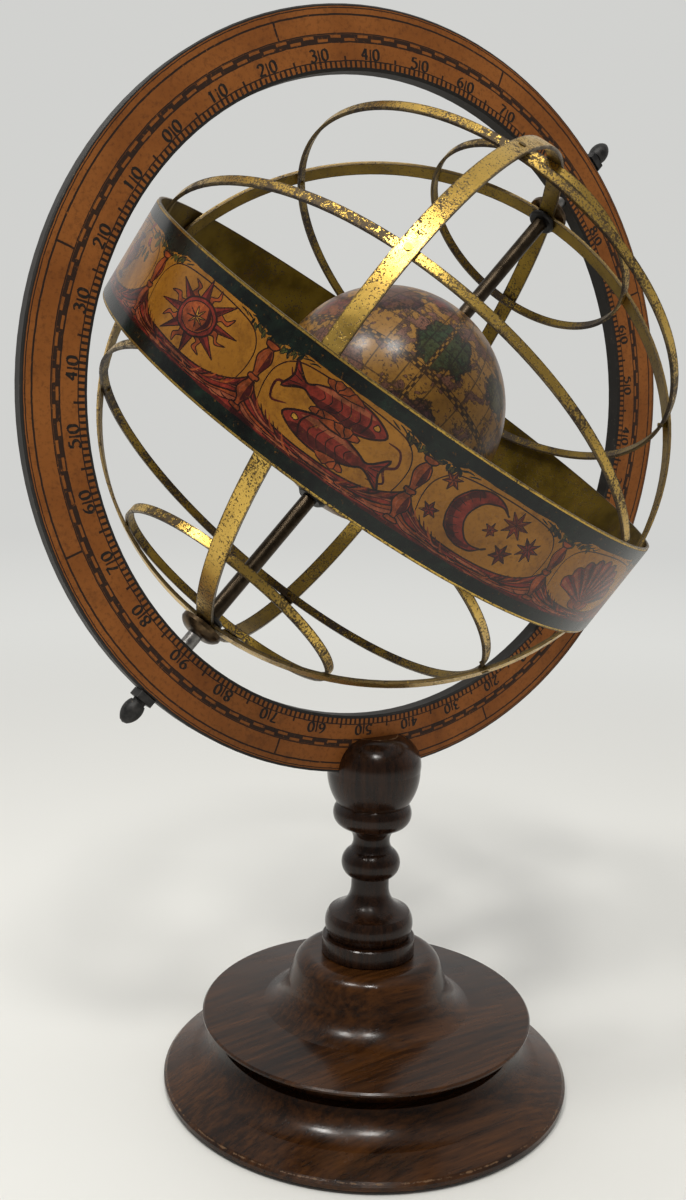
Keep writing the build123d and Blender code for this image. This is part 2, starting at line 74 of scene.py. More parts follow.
class Graph:
    """The nodes of a material or world, with short calls for the ones that repeat."""

    def __init__(self, owner):
        owner.use_nodes = True
        self.tree = owner.node_tree

    def add(self, kind, **settings):
        node = self.tree.nodes.new(kind)
        for key, value in settings.items():
            setattr(node, key, value)
        return node

    def put(self, socket, value):
        if isinstance(value, bpy.types.NodeSocket):
            self.tree.links.new(value, socket)
        elif isinstance(value, (int, float)):
            socket.default_value = value
        else:
            value = tuple(value)
            socket.default_value = value + (1.0,) * (len(socket.default_value) - len(value))

    def filled(self, kind, values, **settings):
        """A new node with values or links on its inputs, which are given by place or name."""
        node = self.add(kind, **settings)
        for key, value in values.items():
            self.put(node.inputs[key], value)
        return node

    def math(self, operation, *values):
        return self.filled("ShaderNodeMath", dict(enumerate(values)), operation=operation).outputs[0]

    def vector(self, operation, *values):
        node = self.filled("ShaderNodeVectorMath", dict(enumerate(values)), operation=operation)
        return node.outputs["Value" if operation in ("DOT_PRODUCT", "LENGTH", "DISTANCE") else "Vector"]

    def scaled(self, vector, scale):
        return self.vector("MULTIPLY", vector, scale)

    def along(self, vector, direction):
        return self.vector("DOT_PRODUCT", vector, direction)

    def joined(self, x=0.0, y=0.0, z=0.0):
        return self.filled("ShaderNodeCombineXYZ", {0: x, 1: y, 2: z}).outputs[0]

    def parts(self, vector):
        return self.filled("ShaderNodeSeparateXYZ", {0: vector}).outputs

    def smooth(self, value, low, high):
        """0 at low and 1 at high, with a soft step between; low may be the larger."""
        ends = (low, high, 0.0, 1.0) if low <= high else (high, low, 1.0, 0.0)
        values = dict(zip(("Value", "From Min", "From Max", "To Min", "To Max"), (value, *ends)))
        return self.filled("ShaderNodeMapRange", values, interpolation_type="SMOOTHSTEP").outputs["Result"]

    def between(self, value, low, high, blur):
        return self.times(self.smooth(value, low - blur, low + blur),
                          self.smooth(value, high + blur, high - blur))

    def chained(self, operation, values):
        result = values[0]
        for value in values[1:]:
            result = self.math(operation, result, value)
        return result

    def plus(self, *values):
        return self.chained("ADD", values)

    def times(self, *values):
        return self.chained("MULTIPLY", values)

    def most(self, *values):
        return self.chained("MAXIMUM", values)

    def minus(self, value, less):
        return self.math("SUBTRACT", value, less)

    def apart(self, a, b):
        return self.math("ABSOLUTE", self.minus(a, b))

    def cycle(self, value, step, shift=40.0):
        """How far the value is through its step, from 0 to 1."""
        return self.math("FRACT", self.plus(self.math("DIVIDE", value, step), shift))

    def squares(self, value, step):
        """0 in the first half of each step and 1 in the second."""
        return self.math("GREATER_THAN", self.cycle(value, step), 0.5)

    def mix(self, factor, a, b):
        return self.filled("ShaderNodeMix", {0: factor, 6: a, 7: b}, data_type="RGBA").outputs[2]

    def blend(self, factor, a, b):
        return self.filled("ShaderNodeMix", {0: factor, 2: a, 3: b}, data_type="FLOAT").outputs[0]

    def seen_straight(self, share, lit, seen):
        """The lit surface, but the seen one in its share where the camera looks right at it."""
        path = self.add("ShaderNodeLightPath").outputs
        straight = self.times(share, self.most(path["Is Camera Ray"], path["Is Transmission Ray"]))
        return self.filled("ShaderNodeMixShader", {0: straight, 1: lit, 2: seen}).outputs[0]


class Shader(Graph):
    """A material under construction, with noises in the frame of the part."""

    def __init__(self, name):
        self.material = bpy.data.materials.new(name)
        super().__init__(self.material)
        self.surface = self.tree.nodes["Principled BSDF"]
        self.point = self.add("ShaderNodeTexCoord").outputs["Object"]

    def from_centre(self):
        return self.vector("SUBTRACT", self.point, CENTRE)

    def noise(self, scale, detail=3.0, roughness=0.55, vector=None, distortion=0.0, colour=False):
        values = {"Vector": self.point if vector is None else vector, "Scale": scale, "Detail": detail,
                  "Roughness": roughness, "Distortion": distortion}
        return self.filled("ShaderNodeTexNoise", values).outputs["Color" if colour else "Fac"]

    def patchy(self, low, high, *noise, **options):
        return self.smooth(self.noise(*noise, **options), low, high)

    def bump(self, height, strength, distance=0.0002):
        values = {"Height": height, "Strength": strength, "Distance": distance}
        return self.filled("ShaderNodeBump", values).outputs[0]

    def finish(self, colour, roughness, normal=None, **inputs):
        self.put(self.surface.inputs["Base Color"], colour)
        self.put(self.surface.inputs["Roughness"], roughness)
        if normal is not None:
            self.put(self.surface.inputs["Normal"], normal)
        for key, value in inputs.items():
            self.put(self.surface.inputs[key.replace("_", " ")], value)
        return self.material


# Wood

PLAIN_TONES = ((0.0080, 0.0028, 0.0010), (0.078, 0.0275, 0.0060))
TURNED_TONES = ((0.0075, 0.0030, 0.0016), (0.040, 0.0155, 0.0060))


def stained_wood(name, stretch, worn_edges, lathe_marks, tones=PLAIN_TONES):
    """Dark glossy stained wood. worn_edges are (radius, height, reach) of turned edges."""
    s = Shader(name)
    warp = s.vector("SUBTRACT", s.noise(14.0, 2.0, colour=True), (0.5, 0.5, 0.5))
    fibre = s.scaled(s.vector("ADD", s.point, s.scaled(warp, (0.006, 0.006, 0.006))), stretch)
    streaks = s.noise(560.0, 4.0, 0.62, vector=fibre)
    broad = s.noise(95.0, 3.0, 0.55, vector=fibre)
    pores = s.patchy(0.58, 0.70, 2100.0, 2.0, 0.6, vector=fibre)
    tone = s.plus(s.times(streaks, 0.55), s.times(broad, 0.45), s.times(s.noise(9.0, 2.0), 0.25))
    colour = s.mix(s.smooth(tone, 0.45, 0.88), *tones)
    colour = s.mix(s.times(pores, 0.6), colour, (0.006, 0.0026, 0.0014))
    x, y, z = s.parts(s.point)
    radius = s.vector("LENGTH", s.joined(x, y))
    wear = s.times(s.noise(330.0, 4.0, 0.7), 0.85)
    chips = 0.0
    for edge_radius, edge_height, reach in worn_edges:
        gap = s.vector("DISTANCE", s.joined(radius, 0.0, z), (edge_radius, 0, edge_height))
        near = s.times(s.smooth(gap, reach, 0.0), 0.46)
        chips = s.most(chips, s.smooth(s.plus(near, wear), 0.80, 0.92))
    colour = s.mix(s.times(chips, 0.75), colour, (0.17, 0.095, 0.045))
    lathe = s.joined(s.times(radius, lathe_marks[0]), 0.0, s.times(z, lathe_marks[1]))
    rings = s.noise(1.0, 2.0, vector=lathe)
    height = s.plus(s.times(rings, 0.5), s.times(pores, -0.35), s.times(s.noise(60.0, 1.0), 0.9))
    roughness = s.blend(s.patchy(0.35, 0.75, 70.0, 3.0), 0.19, 0.32)
    roughness = s.blend(chips, roughness, 0.6)
    return s.finish(colour, roughness, s.bump(height, 0.20), Specular_IOR_Level=0.22, Coat_Weight=0.10,
                    Coat_Roughness=0.1)


# Brass

def brass(name, plane_normal, plane_offset, half_width, middle_radius, dullness=0.0, pitting=1.0):
    """Brass strip bent into a hoop: tarnished and pitted, with dark edges, and darker and rougher on its
    inner face.
    """
    s = Shader(name)
    p = s.from_centre()
    axial = s.along(p, plane_normal)
    first = Vector(plane_normal).orthogonal().normalized()
    second = Vector(plane_normal).cross(first)
    a, b = s.along(p, first), s.along(p, second)
    hoop = s.vector("LENGTH", s.joined(a, b))
    inside = s.smooth(hoop, middle_radius + 0.2 * MM, middle_radius - 0.2 * MM)
    turn = s.math("ARCTAN2", b, a)
    ragged = s.times(s.minus(s.noise(1100.0, 3.0, 0.65), 0.5), 1.5 * MM)
    across = s.plus(s.apart(axial, plane_offset), ragged)
    edge = s.smooth(across, half_width - 0.55 * MM, half_width - 0.10 * MM)
    crowd = s.plus(s.times(s.noise(55.0, 3.0, 0.6), 0.6), s.times(s.noise(24.0, 2.0, 0.5), 0.4))
    speck_low = s.blend(s.smooth(crowd, 0.32, 0.60), 0.68, 0.68 - 0.115 * pitting)
    specks = s.smooth(s.minus(s.noise(1500.0, 2.0, 0.55), speck_low), 0.0, 0.035)
    blot_low = s.blend(s.smooth(crowd, 0.38, 0.62), 0.74, 0.74 - 0.15 * pitting)
    blots = s.smooth(s.minus(s.noise(520.0, 4.0, 0.68), blot_low), 0.0, 0.03)
    stain = s.times(s.patchy(0.50, 0.72, 170.0, 4.0, 0.65), s.smooth(crowd, 0.40, 0.60))
    dark = s.most(s.times(specks, 0.9), blots)
    grain = s.joined(s.times(axial, 5200.0), s.times(turn, 9.0), s.times(hoop, 900.0))
    brushed = s.noise(1.0, 2.0, 0.5, vector=grain)
    colour = s.mix(s.patchy(0.3, 0.7, 28.0, 2.0), (0.74, 0.49, 0.115), (0.56, 0.36, 0.085))
    colour = s.mix(s.times(s.smooth(brushed, 0.45, 0.75), 0.30), colour, (0.36, 0.24, 0.06))
    # The inner face is made a darker olive and rougher than the outer one; dullness adds the same over the
    # whole strip.
    dark_olive_colour = s.mix(s.patchy(0.35, 0.65, 80.0, 4.0), (0.190, 0.125, 0.018), (0.095, 0.062, 0.009))
    dark_olive_share = s.math("MINIMUM", s.plus(s.times(inside, 0.80), dullness), 1.0)
    colour = s.mix(dark_olive_share, colour, dark_olive_colour)
    colour = s.mix(s.times(stain, 0.55), colour, (0.15, 0.075, 0.022))
    colour = s.mix(s.times(edge, 0.80), colour, (0.035, 0.022, 0.010))
    colour = s.mix(s.times(dark, 0.92), colour, (0.022, 0.012, 0.007))
    roughness = s.blend(s.patchy(0.3, 0.7, 120.0, 3.0), 0.26, 0.40)
    roughness = s.blend(s.most(dark, s.times(dark_olive_share, 0.6), s.times(stain, 0.7)), roughness, 0.62)
    metallic = s.blend(s.most(dark, s.times(edge, 0.7)), 1.0, 0.35)
    height = s.plus(s.times(dark, -1.0), s.times(s.noise(240.0, 2.0), 0.5), s.times(brushed, 0.15))
    return s.finish(colour, roughness, s.bump(height, 0.4, 0.00012), Metallic=metallic)


# Plain metals and felt

def dark_metal(name, low, high, roughness, worn, metallic=1.0):
    s = Shader(name)
    grime = s.noise(380.0, 4.0, 0.6)
    colour = s.mix(s.smooth(grime, 0.35, 0.7), low, high)
    rub = s.times(s.patchy(0.60, 0.72, 900.0, 3.0, 0.6), s.patchy(0.45, 0.65, 90.0, 2.0))
    colour = s.mix(s.times(rub, 0.8), colour, worn)
    height = s.plus(grime, s.times(s.noise(1600.0, 2.0), 0.4))
    return s.finish(colour, s.blend(grime, roughness - 0.08, roughness + 0.14),
                    s.bump(height, 0.25, 0.00012), Metallic=metallic)


def felt(name):
    s = Shader(name)
    fibres = s.noise(2600.0, 4.0, 0.8)
    colour = s.mix(fibres, (0.012, 0.030, 0.018), (0.045, 0.085, 0.052))
    return s.finish(colour, 0.95, s.bump(fibres, 0.8, 0.0004), Sheen_Weight=0.3)


def worn_black_paint(name):
    """Black painted rims of the ring: scuffed, with brown wood where it has rubbed through."""
    s = Shader(name)
    cloud = s.noise(60.0, 3.0)
    colour = s.mix(cloud, (0.008, 0.0075, 0.007), (0.026, 0.023, 0.020))
    scuffs = s.patchy(0.60, 0.68, 420.0, 5.0, 0.75)
    colour = s.mix(s.times(scuffs, 0.6), colour, (0.095, 0.072, 0.048))
    dust = s.patchy(0.55, 0.75, 140.0, 4.0, 0.7)
    colour = s.mix(s.times(dust, 0.12), colour, (0.115, 0.095, 0.080))
    return s.finish(colour, s.blend(cloud, 0.42, 0.62), s.bump(scuffs, 0.3, 0.0001), Specular_IOR_Level=0.28)


# Printed papers

def aged_paper(s, low, high, stain):
    colour = s.mix(s.patchy(0.3, 0.7, 34.0, 4.0, 0.6), low, high)
    colour = s.mix(s.times(s.patchy(0.48, 0.72, 700.0, 4.0, 0.7), 0.55), colour, stain)
    return s.mix(s.times(s.patchy(0.54, 0.70, 150.0, 5.0, 0.72), 0.35), colour, stain)


def dial_paper(name):
    """Printed face of the meridian ring: bands, degree ladder and ticks. Radii are in millimetres."""
    s = Shader(name)
    p = s.from_centre()
    north = s.along(p, POLE)
    level = s.along(p, MERIDIAN)
    radius = s.times(s.vector("LENGTH", s.joined(north, level)), 1.0 / MM)
    radius = s.plus(radius, s.times(s.minus(s.noise(260.0, 2.0), 0.5), 0.35))
    degree = s.times(s.math("ARCTAN2", level, north), 180.0 / math.pi)
    degree = s.plus(degree, s.times(s.minus(s.noise(330.0, 2.0), 0.5), 0.22))

    def track(low, high, blur=0.05):
        return s.between(radius, low, high, blur)

    def ring_line(middle, width):
        return track(middle - width / 2, middle + width / 2)

    def every(step, width):
        gap = s.apart(s.cycle(degree, step, 40.5), 0.5)
        return s.smooth(gap, (width * 0.5 + 0.03) / step, (width * 0.5 - 0.03) / step)

    ink = s.most(
        ring_line(130.55, 0.35), ring_line(128.55, 0.60), ring_line(122.75, 0.40), ring_line(120.05, 0.40),
        ring_line(114.35, 0.40), ring_line(112.05, 0.50),
        s.times(track(112.0, 114.4), every(1.0, 0.44)),
        s.times(track(114.3, 115.8), every(5.0, 0.38)),
        s.times(track(114.3, 118.0), every(10.0, 0.30)),
    )
    dash_line = s.blend(s.squares(degree, 5.0), track(120.40, 121.25, 0.06), track(121.45, 122.30, 0.06))
    dash = s.times(dash_line, s.minus(1.0, every(2.5, 0.60)))
    chain = s.times(track(120.2, 122.5), s.minus(1.0, dash), 0.96)
    from_pole = s.math("ABSOLUTE", degree)
    zones = [s.smooth(s.apart(from_pole, boundary), 0.20, 0.13) for boundary in (23.5, 66.5, 113.5, 156.5)]
    ink = s.most(ink, chain, s.times(s.most(*zones), track(122.8, 128.4)))
    ink = s.times(ink, s.patchy(0.22, 0.42, 900.0, 3.0, 0.7))
    paper = aged_paper(s, (0.200, 0.062, 0.010), (0.270, 0.090, 0.017), (0.070, 0.021, 0.006))
    colour = s.mix(s.times(ink, 0.96), paper, (0.009, 0.007, 0.006))
    rim = s.most(s.smooth(radius, 112.35, 112.15), s.smooth(radius, 130.95, 131.15))
    colour = s.mix(rim, colour, (0.016, 0.015, 0.014))
    fibres = s.noise(1300.0, 3.0)
    return s.finish(colour, s.blend(fibres, 0.50, 0.66), s.bump(fibres, 0.12, 0.0001), Specular_IOR_Level=0.2)


def band_paper(name):
    """Print of the zodiac band: the inks of its sheet over a varnished ochre ground, worn and stained."""
    s = Shader(name)
    print_layer = s.add("ShaderNodeVertexColor", layer_name="ink").outputs
    ink = print_layer["Color"]
    ground = aged_paper(s, (0.215, 0.086, 0.008), (0.310, 0.132, 0.014), (0.10, 0.032, 0.005))
    mottle = s.plus(s.times(s.noise(300.0, 5.0, 0.75), 0.65), s.times(s.noise(95.0, 3.0, 0.6), 0.35))
    tint = s.mix(s.smooth(mottle, 0.42, 0.60), ink, s.scaled(ink, (0.34, 0.28, 0.36)))
    tint = s.mix(s.smooth(mottle, 0.44, 0.34), tint, s.scaled(tint, (1.45, 1.9, 1.7)))
    kept = s.minus(1.0, s.times(s.patchy(0.60, 0.72, 520.0, 5.0, 0.75), 0.55))
    colour = s.mix(s.times(print_layer["Alpha"], kept), ground, tint)
    stain = s.times(s.patchy(0.52, 0.72, 95.0, 4.0, 0.65), 0.40)
    colour = s.mix(stain, colour, s.scaled(colour, (0.36, 0.30, 0.26)))
    return s.finish(colour, s.blend(s.noise(90.0, 3.0), 0.20, 0.34), s.bump(s.noise(120.0, 3.0), 0.10),
                    Specular_IOR_Level=0.3, Coat_Weight=0.08, Coat_Roughness=0.12)


def printed_ink(name):
    s = Shader(name)
    grain = s.noise(900.0, 3.0, 0.7)
    colour = s.mix(s.smooth(grain, 0.55, 0.80), (0.012, 0.010, 0.008), (0.10, 0.045, 0.018))
    return s.finish(colour, s.blend(grain, 0.50, 0.62), Specular_IOR_Level=0.2)


# Globe

GREEN = (0.026, 0.048, 0.022)
RED = (0.150, 0.026, 0.018)
VIOLET = (0.062, 0.026, 0.030)
# Latitude and longitude in degrees, reach on a ball of radius 1, ink and cover
GLOBE_PATCHES = (
    (16, -112, 0.235, GREEN, 0.92), (24, -72, 0.16, GREEN, 0.8), (42, -131, 0.10, RED, 0.8),
    (-12, -62, 0.15, VIOLET, 0.85), (28, -150, 0.20, VIOLET, 0.8), (6, -172, 0.17, RED, 0.7),
    (-24, -105, 0.22, VIOLET, 0.8), (-35, -20, 0.25, GREEN, 0.8), (20, 0, 0.30, RED, 0.6),
    (-5, 55, 0.28, VIOLET, 0.8), (35, 85, 0.24, GREEN, 0.85), (-30, 120, 0.27, RED, 0.6),
    (15, 150, 0.20, VIOLET, 0.8),
)
PRIME_MERIDIAN = -113.0
GRATICULE_STEP = 15.0


def globe_direction(latitude, longitude):
    latitude, longitude = math.radians(latitude), math.radians(longitude)
    level = MERIDIAN * math.cos(longitude) + EAST * math.sin(longitude)
    return POLE * math.sin(latitude) + level * math.cos(latitude)


def globe_paper(name):
    s = Shader(name)
    unit = s.vector("NORMALIZE", s.from_centre())
    north = s.along(unit, POLE)
    latitude = s.times(s.math("ARCSINE", north), 180.0 / math.pi)
    longitude = s.times(s.math("ARCTAN2", s.along(unit, EAST), s.along(unit, MERIDIAN)), 180.0 / math.pi)
    slim = s.math("SQRT", s.most(s.minus(1.0, s.math("POWER", north, 2.0)), 0.0005))

    shape = s.noise(5.2, 6.0, 0.66, vector=s.vector("ADD", unit, (3.1, 1.7, 5.2)), distortion=0.5)
    land = s.smooth(shape, 0.545, 0.552)
    shore = s.between(shape, 0.524, 0.556, 0.005)
    specks = s.noise(17.0, 3.0, 0.65, vector=s.vector("ADD", unit, (7.0, 2.0, 1.0)))
    isles = s.smooth(specks, 0.615, 0.63)
    isle_shore = s.between(specks, 0.592, 0.635, 0.006)
    map_place = s.joined(s.times(latitude, 0.9), s.times(longitude, 0.30))
    marks = s.patchy(0.63, 0.66, 1.0, 3.0, 0.6, vector=map_place)
    stipple = s.patchy(0.48, 0.60, 60.0, 3.0, 0.7, vector=unit)
    paper = aged_paper(s, (0.185, 0.088, 0.014), (0.265, 0.132, 0.024), (0.080, 0.032, 0.008))
    violet = s.mix(s.patchy(0.35, 0.65, 9.0, 3.0, vector=unit), (0.060, 0.027, 0.026), (0.150, 0.062, 0.045))
    any_land = s.most(land, isles)
    colour = s.mix(s.times(any_land, 0.85), paper, violet)
    colour = s.mix(s.times(any_land, stipple, 0.65), colour, (0.020, 0.011, 0.012))
    colour = s.mix(s.times(marks, 0.75), colour, (0.030, 0.014, 0.010))

    coast = s.times(s.minus(s.noise(9.0, 4.0, 0.7, vector=unit), 0.5), 0.34)
    grain = s.patchy(0.35, 0.65, 40.0, 3.0, 0.6, vector=unit)
    for patch_latitude, patch_longitude, reach, tint, share in GLOBE_PATCHES:
        ragged = s.plus(s.vector("DISTANCE", unit, globe_direction(patch_latitude, patch_longitude)), coast)
        inside = s.smooth(ragged, reach + 0.01, reach - 0.01)
        outline = s.between(ragged, reach - 0.016, reach + 0.016, 0.006)
        colour = s.mix(s.times(inside, share), colour, s.mix(grain, tint, Vector(tint) * 0.4))
        colour = s.mix(s.times(outline, 0.85), colour, (0.012, 0.010, 0.008))

    def line_gap(value):
        """Degrees from the nearest line of the graticule."""
        return s.times(s.apart(s.cycle(value, GRATICULE_STEP, 40.5), 0.5), GRATICULE_STEP)

    def checked(value, middle, gap, run, outer, inner):
        track = s.smooth(gap, outer + 0.20, outer)
        alternate = s.apart(s.squares(run, 5.0), s.math("GREATER_THAN", value, middle))
        return track, s.times(track, s.most(alternate, s.smooth(gap, inner, inner + 0.20)))

    parallels = s.smooth(line_gap(latitude), 0.40, 0.28)
    meridians = s.smooth(s.times(line_gap(longitude), slim), 0.45, 0.28)
    equator_gap = s.math("ABSOLUTE", latitude)
    prime_gap = s.times(s.apart(longitude, PRIME_MERIDIAN), slim)
    equator_track, equator = checked(latitude, 0.0, equator_gap, longitude, 1.60, 1.15)
    prime_track, prime = checked(longitude, PRIME_MERIDIAN, prime_gap, latitude, 1.15, 0.75)
    colour = s.mix(s.times(s.most(equator_track, prime_track), 0.8), colour, paper)
    dashes = s.math("GREATER_THAN", s.cycle(longitude, 3.0), 0.35)
    ecliptic = s.smooth(s.math("ABSOLUTE", s.along(unit, BAND_NORMAL)), 0.015, 0.011)
    tropic = s.smooth(s.apart(equator_gap, 23.5), 0.75, 0.55)
    ink = s.most(s.times(s.most(parallels, meridians), 0.80), equator, prime,
                 s.times(s.most(ecliptic, tropic), dashes, 0.9), s.times(s.most(shore, isle_shore), 0.85))
    ink = s.times(ink, s.patchy(0.26, 0.42, 620.0, 3.0, 0.7))
    colour = s.mix(s.times(ink, 0.93), colour, (0.012, 0.008, 0.007))
    grime = s.patchy(0.55, 0.75, 60.0, 4.0, 0.7)
    colour = s.mix(s.times(grime, 0.35), colour, (0.045, 0.018, 0.007))
    height = s.plus(s.noise(90.0, 2.0), s.times(s.noise(1300.0, 2.0), 0.45))
    return s.finish(colour, s.blend(s.noise(120.0, 3.0), 0.22, 0.40), s.bump(height, 0.20),
                    Specular_IOR_Level=0.3, Coat_Weight=0.04, Coat_Roughness=0.12)


# Drawing kit for the prints

hand = np.random.default_rng(11)
LONGEST_EDGE = 2.4
BARE_PAPER = (1.0, 1.0, 1.0, 0.0)


def smooth_curve(points, closed=False, steps=5):
    """Points of a Catmull-Rom curve through the given ones."""
    points = np.array(points, dtype=float)
    count = len(points)
    curve = []
    for i in range(count if closed else count - 1):
        before = points[i - 1] if closed or i else 2 * points[0] - points[1]
        here, after = points[i], points[(i + 1) % count]
        last = points[(i + 2) % count] if closed or i + 2 < count else 2 * points[-1] - points[-2]
        for t in np.arange(steps) / steps:
            bend = 2 * before - 5 * here + 4 * after - last + t * (3 * (here - after) + last - before)
            curve.append(here + 0.5 * t * (after - before + t * bend))
    if not closed:
        curve.append(points[-1])
    return np.array(curve)


def oval(x, y, width, height, turns):
    """Points of an oval round x, y at the given angles."""
    return np.stack([x + width * np.cos(turns), y + height * np.sin(turns)], 1)


def arc(x, y, width, height, start, end, count):
    """Part of an oval, between two angles in degrees."""
    return oval(x, y, width, height, np.radians(np.linspace(start, end, count)))


def circle(x, y, radius, count=20, stretch=1.0):
    return oval(x, y, radius * stretch, radius, np.arange(count) * 2 * math.pi / count)


def turned(points, turn, x=0.0, y=0.0, widen=1.0):
    """The points turned about the origin, widened, and moved by x, y."""
    c, s = math.cos(turn), math.sin(turn)
    return np.array(points) @ [[c * widen, s], [-s * widen, c]] + (x, y)


class Drawing:
    """Flat shapes in millimetres, each drawn over the ones before it."""

    def __init__(self, wobble=0.0):
        self.shapes = []
        self.wobble = wobble
        self.place()

    def place(self, x=0.0, y=0.0, scale=1.0, turn=0.0, mirror=False, widen=1.0):
        c, s = scale * math.cos(turn), scale * math.sin(turn)
        self.matrix = np.array([[c, -s], [s, c]]) @ np.diag([-widen if mirror else widen, 1.0])
        self.origin = np.array([x, y])

    def polygon(self, points, ink):
        points = np.array(points, dtype=float) @ self.matrix.T + self.origin
        loop = []
        for start, end in zip(points, np.roll(points, -1, 0)):
            count = max(1, math.ceil(np.linalg.norm(end - start) / LONGEST_EDGE))
            loop.extend(start + (end - start) * i / count for i in range(count))
        self.shapes.append((np.array(loop), ink))

    def shaken(self, points):
        points = np.array(points, dtype=float)
        return points + hand.normal(0, 1, points.shape) * self.wobble

    def ribbon(self, curve, ink, width, closed=False):
        ahead = np.roll(curve, -1, 0) - np.roll(curve, 1, 0) if closed else np.gradient(curve, axis=0)
        length = np.maximum(np.linalg.norm(ahead, axis=1), 1e-9)
        side = np.stack([-ahead[:, 1], ahead[:, 0]], 1) / length[:, None] * np.reshape(width, (-1, 1)) / 2
        left, right = curve + side, curve - side
        if closed:
            left, right = np.vstack([left, left[:1]]), np.vstack([right, right[:1]])
        self.polygon(np.vstack([left, right[::-1]]), ink)

    def line(self, points, ink, width=0.32, taper=0.3, steps=5):
        """A smooth stroke, thin at both ends."""
        curve = smooth_curve(self.shaken(points), steps=steps)
        swell = np.sin(np.linspace(0.0, math.pi, len(curve))) ** 0.6
        self.ribbon(curve, ink, width * (taper + (1 - taper) * swell))

    def area(self, points, ink, edge="line", width=0.34, steps=4):
        """A filled smooth outline with a drawn edge."""
        loop = smooth_curve(self.shaken(points), closed=True, steps=steps)
        self.polygon(loop, ink)
        if edge:
            self.ribbon(loop, edge, width, closed=True)

    def facets(self, points, ink, edge="line", width=0.30):
        """A filled outline with sharp corners."""
        points = self.shaken(points)
        self.polygon(points, ink)
        for start, end in zip(points, np.roll(points, -1, 0)):
            self.ribbon(np.array([start, end]), edge, width)


def inside(points, loop):
    """Which points the loop winds round."""
    x, y = points[:, None, 0], points[:, None, 1]
    a, b = loop, np.roll(loop, -1, 0)
    side = (b[:, 0] - a[:, 0]) * (y - a[:, 1]) - (x - a[:, 0]) * (b[:, 1] - a[:, 1])
    rises = ((a[:, 1] <= y) & (b[:, 1] > y) & (side > 0)).sum(1)
    falls = ((a[:, 1] > y) & (b[:, 1] <= y) & (side < 0)).sum(1)
    return rises != falls


def triangulate(drawing, field, loose):
    """Triangles that no drawn edge crosses, and the name of the ink that lies uppermost on each."""
    points, edges = [], []
    for loop in [field] + [shape for shape, ink in drawing.shapes]:
        first, count = len(points), len(loop)
        points.extend(Vector(point) for point in loop)
        edges.extend((first + i, first + (i + 1) % count) for i in range(count))
    points.extend(Vector(point) for point in loose)
    flat, _, triangles, _, _, _ = delaunay_2d_cdt(points, edges, [], 0, 1e-3)
    flat = np.array([tuple(point) for point in flat])
    triangles = np.array(triangles)
    middles = flat[triangles].mean(1)
    within = (middles > field.min(0)).all(1) & (middles < field.max(0)).all(1)
    triangles, middles = triangles[within], middles[within]
    inks = np.full(len(triangles), "", dtype=object)
    for shape, ink in drawing.shapes:
        near = np.nonzero((middles > shape.min(0)).all(1) & (middles < shape.max(0)).all(1))[0]
        inks[near[inside(middles[near], shape)]] = ink
    return flat, triangles, inks


def closed_sheet(name, flat, triangles, inks, locate, palette, material, body):
    """A thin closed sheet. locate gives the places and outward normals of its outer or inner face."""
    used, index = np.unique(triangles, return_inverse=True)
    flat, triangles = flat[used], index.reshape(-1, 3)
    outer, up = locate(flat, True)
    inner, _ = locate(flat, False)
    edges = np.vstack([triangles[:, [0, 1]], triangles[:, [1, 2]], triangles[:, [2, 0]]])
    key = np.sort(edges, axis=1)
    _, first, times = np.unique(key, axis=0, return_index=True, return_counts=True)
    rim = edges[first[times == 1]]
    count = len(flat)
    faces = [tuple(face) for face in triangles]
    faces += [tuple(face[::-1] + count) for face in triangles]
    faces += [(b, a, a + count, b + count) for a, b in rim]
    mesh = bpy.data.meshes.new(name)
    mesh.from_pydata(np.vstack([outer, inner]).tolist(), [], [tuple(int(i) for i in face) for face in faces])
    run = outer[rim[:, 1]] - outer[rim[:, 0]]
    walls = np.cross(run, up[rim[:, 0]])
    walls /= np.maximum(np.linalg.norm(walls, axis=1), 1e-12)[:, None]
    normals = [up[triangles.reshape(-1)], -up[triangles[:, ::-1].reshape(-1)], np.repeat(walls, 4, 0)]
    mesh.normals_split_custom_set(np.vstack(normals).tolist())
    tints = np.array([palette.get(ink, BARE_PAPER) for ink in inks])
    blank = np.tile(BARE_PAPER, (len(triangles) * 3 + len(rim) * 4, 1))
    colours = np.vstack([np.repeat(tints, 3, 0), blank]).astype(np.float32)
    mesh.color_attributes.new("ink", "FLOAT_COLOR", "CORNER").data.foreach_set("color", colours.reshape(-1))
    sheet = bpy.data.objects.new(name, mesh)
    bpy.context.scene.collection.objects.link(sheet)
    mesh.materials.append(material)
    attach(sheet, body)
    return sheet


# Zodiac band's print

PANEL = 2 * math.pi * (BAND_RADIUS / MM + 0.15) / 12
FIELD = 12.75
FIRST_DIVIDER = math.radians(19.5)
SEAM_REACH = 2e-3


def mirrored(half):
    """A closed outline from (height, half width) pairs, from the foot up."""
    return [(w, h) for h, w in half] + [(-w, h) for h, w in half[::-1]]


def baluster(d):
    half = [(-11.2, 1.7), (-10.2, 1.9), (-9.8, 0.9), (-8.4, 1.1), (-6.2, 2.5), (-3.8, 2.2), (-2.0, 0.9),
            (-1.4, 1.7), (-0.6, 1.7), (0.0, 0.9), (1.8, 1.6), (4.4, 2.5), (6.6, 1.8), (8.0, 0.9), (8.5, 1.9),
            (9.6, 1.9)]
    d.area(mirrored(half), "rust", width=0.45)
    for low, high, reach in ((-8.6, -2.4, 2.2), (0.6, 7.6, 2.2)):
        middle = (low + high) / 2
        d.area([(0.5, low), (reach, middle - 0.6), (0.8, high), (0.3, middle)], "deep", None)
        d.line([(-0.6, low + 1), (-1.3, middle), (-0.7, high - 1)], "rose", 0.4)
    for height in (-9.8, -2.0, -0.3, 8.1):
        d.line([(-1.6, height), (0, height - 0.2), (1.6, height)], "line", 0.4, 0.8, 2)


